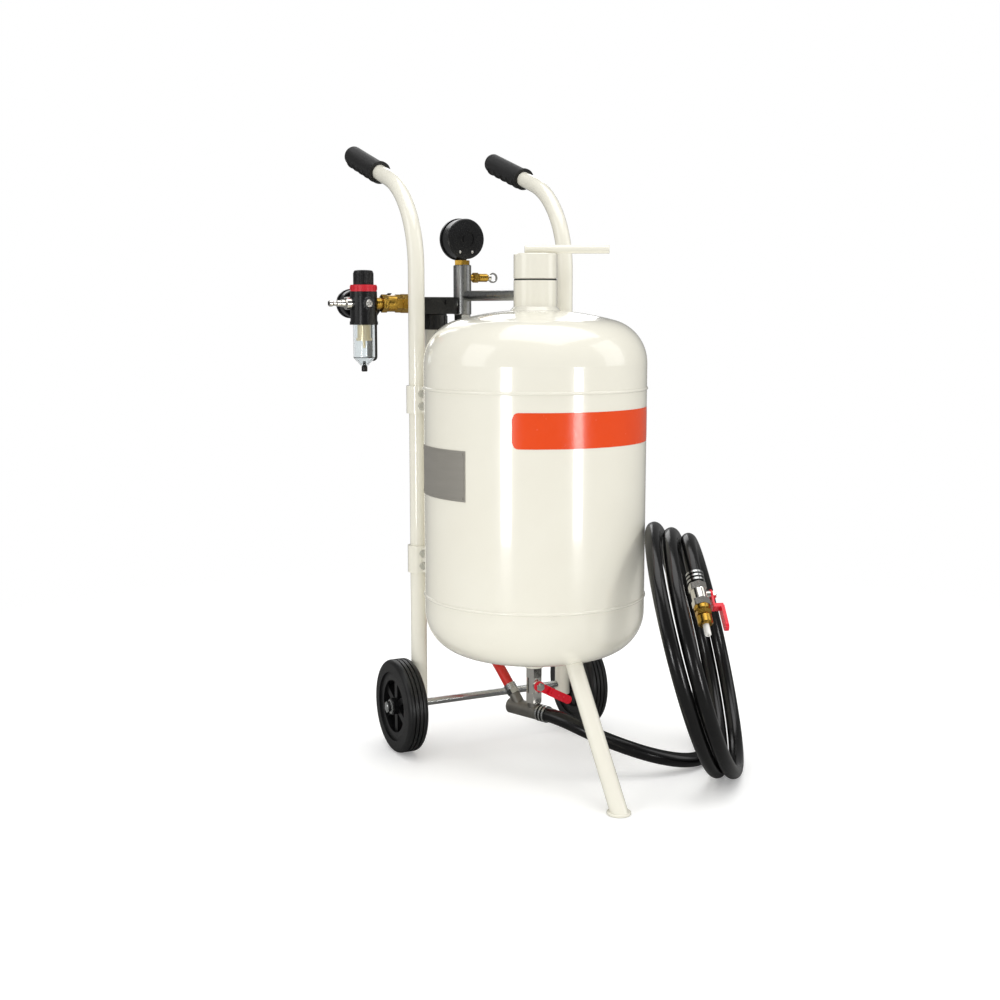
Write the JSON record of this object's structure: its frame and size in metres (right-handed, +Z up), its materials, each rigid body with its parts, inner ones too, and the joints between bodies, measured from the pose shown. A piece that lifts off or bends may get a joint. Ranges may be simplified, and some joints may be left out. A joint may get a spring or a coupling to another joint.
{
  "type": "pressure pot abrasive blaster",
  "caption": "Wheeled pressure-pot abrasive blaster: upright dished tank, screw filler cap, air regulator, gauges, metering valve, mixing tee and coiled blast hose with nozzle valve.",
  "frame": {"origin": "middle of the front foot's underside, on the floor", "axes": "+Z up, along the tank; +Y from the foot towards the wheels and handles; +X to the right seen from the front"},
  "size_m": [0.5922, 0.7124, 0.956],
  "materials": {
    "cream_paint": "gloss cream coat over sheet steel",
    "black_rubber": "moulded matt rubber",
    "hose_rubber": "smooth extruded hose cover",
    "zinc_steel": "bright zinc plated",
    "plain_steel": "welded tube, lightly brushed",
    "brass": "machined brass",
    "black_plastic": "moulded black nylon",
    "black_casting": "black coated die casting",
    "clear_plastic": "clear moulded polycarbonate",
    "grey_plastic": "milky grey moulding",
    "red_plastic": "dipped red vinyl",
    "needle_red": "painted pointer",
    "sintered_bronze": "porous sintered bronze",
    "nickel": "nickel plated brass",
    "red_hose": "smooth red air hose",
    "grey_casting": "plain grey malleable iron",
    "tyre_rubber": "ribbed solid rubber",
    "plate_metal": "blank riveted plate",
    "ceramic": "fired white ceramic"
  },
  "bodies": {
    "blaster_frame": {"tank_shell": "cream_paint", "filler_neck": "cream_paint", "air_manifold": "plain_steel", "gauge_bushing": "brass", "main_gauge_case": "black_plastic", "gauge_lenses": "clear_plastic", "relief_valve_body": "brass", "separator_head": "black_plastic", "separator_bowl": "grey_plastic", "line_nipples": "brass", "inlet_valve_body": "brass", "regulator_body": "black_casting", "lock_ring": "red_plastic", "regulator_bowl": "clear_plastic", "filter_element": "sintered_bronze", "port_plug": "nickel", "inlet_plug": "nickel", "small_gauge_case": "black_plastic", "air_hose": "red_hose", "air_hose_ferrules": "plain_steel", "mixing_tee": "grey_casting", "outlet_socket": "cream_paint", "metering_valve_body": "nickel", "tee_hose_clamps": "zinc_steel", "front_leg": "cream_paint", "front_foot": "cream_paint", "left_post": "cream_paint", "right_post": "cream_paint", "left_grip": "black_rubber", "right_grip": "black_rubber", "post_brackets": "cream_paint", "bracket_bolts": "zinc_steel", "axle": "zinc_steel", "axle_nuts": "zinc_steel", "data_plate": "plate_metal", "hose_run": "hose_rubber", "hose_coil": "hose_rubber", "nozzle_clamps": "zinc_steel", "nozzle_valve_body": "nickel", "nozzle_holder": "brass", "nozzle_tip": "ceramic"},
    "gasket_ring": {"cap_gasket": "black_rubber"},
    "filler_cap_assembly": {"filler_cap": "cream_paint", "cap_bar": "cream_paint"},
    "left_wheel": {"left_tyre": "tyre_rubber", "left_hub": "black_plastic"},
    "right_wheel": {"right_tyre": "tyre_rubber", "right_hub": "black_plastic"},
    "pressure_knob": {"regulator_knob": "black_plastic"},
    "inlet_valve_handle": {"inlet_valve_ball": "nickel", "inlet_lever": "black_plastic"},
    "metering_valve_handle": {"metering_valve_ball": "nickel", "metering_lever": "red_plastic"},
    "nozzle_valve_handle": {"nozzle_valve_ball": "nickel", "nozzle_lever": "red_plastic"},
    "main_gauge_pointer": {"main_gauge_needle": "needle_red"},
    "small_gauge_pointer": {"small_gauge_needle": "needle_red"},
    "relief_pull": {"relief_stem": "plain_steel"},
    "drain_screw": {"drain_knob": "black_plastic"}
  },
  "joints": [
    {"name": "cap_lift", "type": "slide", "parent": "blaster_frame", "child": "gasket_ring", "axis": [0, 0, 1], "range_m": [0, 0.021]},
    {"name": "cap_turn", "type": "hinge", "parent": "gasket_ring", "child": "filler_cap_assembly", "pos_m": [0, 0.25, 0.75], "axis": [0, 0, 1], "range_deg": [0, 1890]},
    {"name": "left_wheel_spin", "type": "hinge", "parent": "blaster_frame", "child": "left_wheel", "pos_m": [-0.15956, 0.39197, 0.073], "axis": [1, 0, 0], "continuous": true},
    {"name": "right_wheel_spin", "type": "hinge", "parent": "blaster_frame", "child": "right_wheel", "pos_m": [0.15956, 0.39197, 0.073], "axis": [1, 0, 0], "continuous": true},
    {"name": "pressure_knob_turn", "type": "hinge", "parent": "blaster_frame", "child": "pressure_knob", "pos_m": [-0.20049, 0.42799, 0.73], "axis": [0, 0, 1], "range_deg": [-720, 720]},
    {"name": "inlet_valve_turn", "type": "hinge", "parent": "blaster_frame", "child": "inlet_valve_handle", "pos_m": [-0.15599, 0.42799, 0.69743], "axis": [0, 1, 0], "range_deg": [-90, 0]},
    {"name": "metering_valve_turn", "type": "hinge", "parent": "blaster_frame", "child": "metering_valve_handle", "pos_m": [0, 0.25, 0.1225], "axis": [0, 1, 0], "range_deg": [-28, 14]},
    {"name": "nozzle_valve_turn", "type": "hinge", "parent": "blaster_frame", "child": "nozzle_valve_handle", "pos_m": [0.15034, 0.03426, 0.28586], "axis": [0.9569, -0.2905, 0], "range_deg": [0, 90]},
    {"name": "main_gauge_sweep", "type": "hinge", "parent": "blaster_frame", "child": "main_gauge_pointer", "pos_m": [-0.03499, 0.42799, 0.79693], "axis": [0, 1, 0], "range_deg": [-270, 0]},
    {"name": "small_gauge_sweep", "type": "hinge", "parent": "blaster_frame", "child": "small_gauge_pointer", "pos_m": [-0.20049, 0.46499, 0.69743], "axis": [0, 1, 0], "range_deg": [-270, 0]},
    {"name": "relief_pull_out", "type": "slide", "parent": "blaster_frame", "child": "relief_pull", "axis": [1, 0, 0], "range_m": [0, 0.003], "stiffness_N_per_m": 600},
    {"name": "drain_screw_turn", "type": "hinge", "parent": "blaster_frame", "child": "drain_screw", "pos_m": [-0.20049, 0.42799, 0.6], "axis": [0, 0, 1], "range_deg": [0, 360]}
  ],
  "couplings": [
    {"joint": "cap_lift", "follows": "cap_turn", "m_per_rad": 0.00063662}
  ]
}
